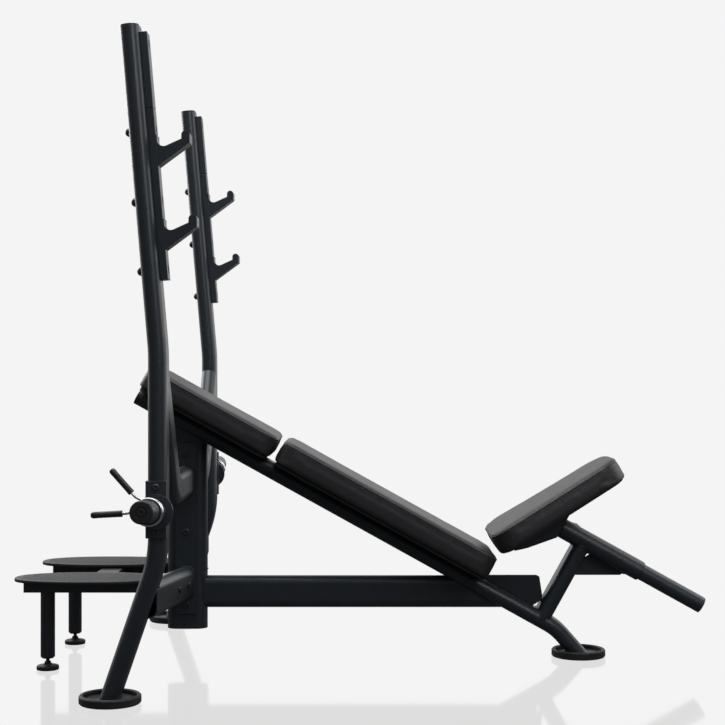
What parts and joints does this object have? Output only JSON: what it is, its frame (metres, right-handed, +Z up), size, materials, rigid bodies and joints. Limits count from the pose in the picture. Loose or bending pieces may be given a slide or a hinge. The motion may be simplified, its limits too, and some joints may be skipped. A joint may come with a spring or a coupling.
{
  "type": "adjustable weight bench",
  "caption": "Incline weight bench with a sliding seat, a two-post bar rack with hooks, plate storage horns with spring collars and a rear spotter platform.",
  "frame": {"origin": "on the floor below the middle of the object's box, on its plane of symmetry", "axes": "+Z up, +X the way the lifter faces, from the rack towards the seat, +Y to the lifter's left"},
  "size_m": [1.7781, 1.6738, 1.5328],
  "materials": {
    "powder_coat": "matte anthracite fine-texture powder coat",
    "foot_rubber": "matte black moulded rubber",
    "black_plastic": "satin black moulded plastic",
    "black_fastener": "black oxide fasteners and domed caps",
    "vinyl_pad": "black upholstery vinyl with fine grain",
    "backing_board": "plywood board wrapped in black backing",
    "chrome_wire": "bright chromed spring wire"
  },
  "bodies": {
    "frame": {"tower_column": "powder_coat", "flange_left": "powder_coat", "flange_right": "powder_coat", "base_bolts": "black_fastener", "main_beam": "powder_coat", "upright_left": "powder_coat", "upright_right": "powder_coat", "end_caps": "black_plastic", "brace_left": "powder_coat", "brace_right": "powder_coat", "cross_tube_left": "powder_coat", "cross_tube_right": "powder_coat", "foot_plates": "powder_coat", "foot_rings": "foot_rubber", "hook_rail_left": "powder_coat", "hook_rail_right": "powder_coat", "hook_upper_left": "powder_coat", "hook_upper_right": "powder_coat", "hook_lower_left": "powder_coat", "hook_lower_right": "powder_coat", "cover_rails": "powder_coat", "rack_bolts": "black_fastener", "horn_bracket_left": "powder_coat", "horn_bracket_right": "powder_coat", "horn_left": "powder_coat", "horn_right": "powder_coat", "horn_cap_left": "black_plastic", "horn_cap_right": "black_plastic", "back_rail": "powder_coat", "pad_brackets": "powder_coat", "backboard_upper": "backing_board", "backboard_lower": "backing_board", "pad_upper": "vinyl_pad", "pad_lower": "vinyl_pad", "seat_post": "powder_coat", "post_gussets": "powder_coat", "seat_sleeve": "powder_coat", "sleeve_liner": "black_plastic", "pin_barrel": "powder_coat", "deck_frame": "powder_coat", "deck_left": "foot_rubber", "deck_right": "foot_rubber"},
    "seat_unit": {"seat_tube": "powder_coat", "seat_tube_cap": "black_plastic", "seat_bracket": "powder_coat", "seat_board": "backing_board", "seat_pad": "vinyl_pad"},
    "pull_pin": {"pin_knob": "black_plastic"},
    "left_collar": {"collar_left": "chrome_wire", "collar_grip_left": "black_plastic"},
    "right_collar": {"collar_right": "chrome_wire", "collar_grip_right": "black_plastic"},
    "left_lever": {"collar_lever_left": "chrome_wire", "lever_grip_left": "black_plastic"},
    "right_lever": {"collar_lever_right": "chrome_wire", "lever_grip_right": "black_plastic"},
    "left_level_pad": {"leveller_pad_left": "foot_rubber"},
    "right_level_pad": {"leveller_pad_right": "foot_rubber"},
    "left_level_stud": {"leveller_stud_left": "black_fastener"},
    "right_level_stud": {"leveller_stud_right": "black_fastener"}
  },
  "joints": [
    {"name": "seat_slide", "type": "slide", "parent": "frame", "child": "seat_unit", "axis": [-0.8746, 0, 0.4848], "range_m": [0, 0.16]},
    {"name": "pin_pull", "type": "slide", "parent": "frame", "child": "pull_pin", "axis": [0, 1, 0], "range_m": [0, 0.012], "stiffness_N_per_m": 600, "springref_m": -0.01},
    {"name": "left_collar_slide", "type": "slide", "parent": "frame", "child": "left_collar", "axis": [0, 0.9962, 0.0872], "range_m": [-0.078, 0.1]},
    {"name": "left_lever_squeeze", "type": "hinge", "parent": "left_collar", "child": "left_lever", "pos_m": [-0.472, 0.72649, 0.44732], "axis": [0, 0.9962, 0.0872], "range_deg": [0, 24], "stiffness_Nm_per_rad": 4, "springref_deg": -14.32},
    {"name": "left_level_height", "type": "slide", "parent": "frame", "child": "left_level_pad", "axis": [0, 0, 1], "range_m": [-0.0075, 0.007]},
    {"name": "left_level_turn", "type": "hinge", "parent": "left_level_pad", "child": "left_level_stud", "pos_m": [-0.804, 0.179, 0.03], "axis": [0, 0, 1], "range_deg": [-1800, 1680]},
    {"name": "right_collar_slide", "type": "slide", "parent": "frame", "child": "right_collar", "axis": [0, -0.9962, 0.0872], "range_m": [-0.078, 0.1]},
    {"name": "right_lever_squeeze", "type": "hinge", "parent": "right_collar", "child": "right_lever", "pos_m": [-0.472, -0.72649, 0.44732], "axis": [0, 0.9962, -0.0872], "range_deg": [0, 24], "stiffness_Nm_per_rad": 4, "springref_deg": -14.32},
    {"name": "right_level_height", "type": "slide", "parent": "frame", "child": "right_level_pad", "axis": [0, 0, 1], "range_m": [-0.0075, 0.007]},
    {"name": "right_level_turn", "type": "hinge", "parent": "right_level_pad", "child": "right_level_stud", "pos_m": [-0.804, -0.179, 0.03], "axis": [0, 0, 1], "range_deg": [-1800, 1680]}
  ],
  "couplings": [
    {"joint": "left_level_turn", "follows": "left_level_height", "rad_per_m": 4188.8},
    {"joint": "right_level_turn", "follows": "right_level_height", "rad_per_m": 4188.8}
  ]
}
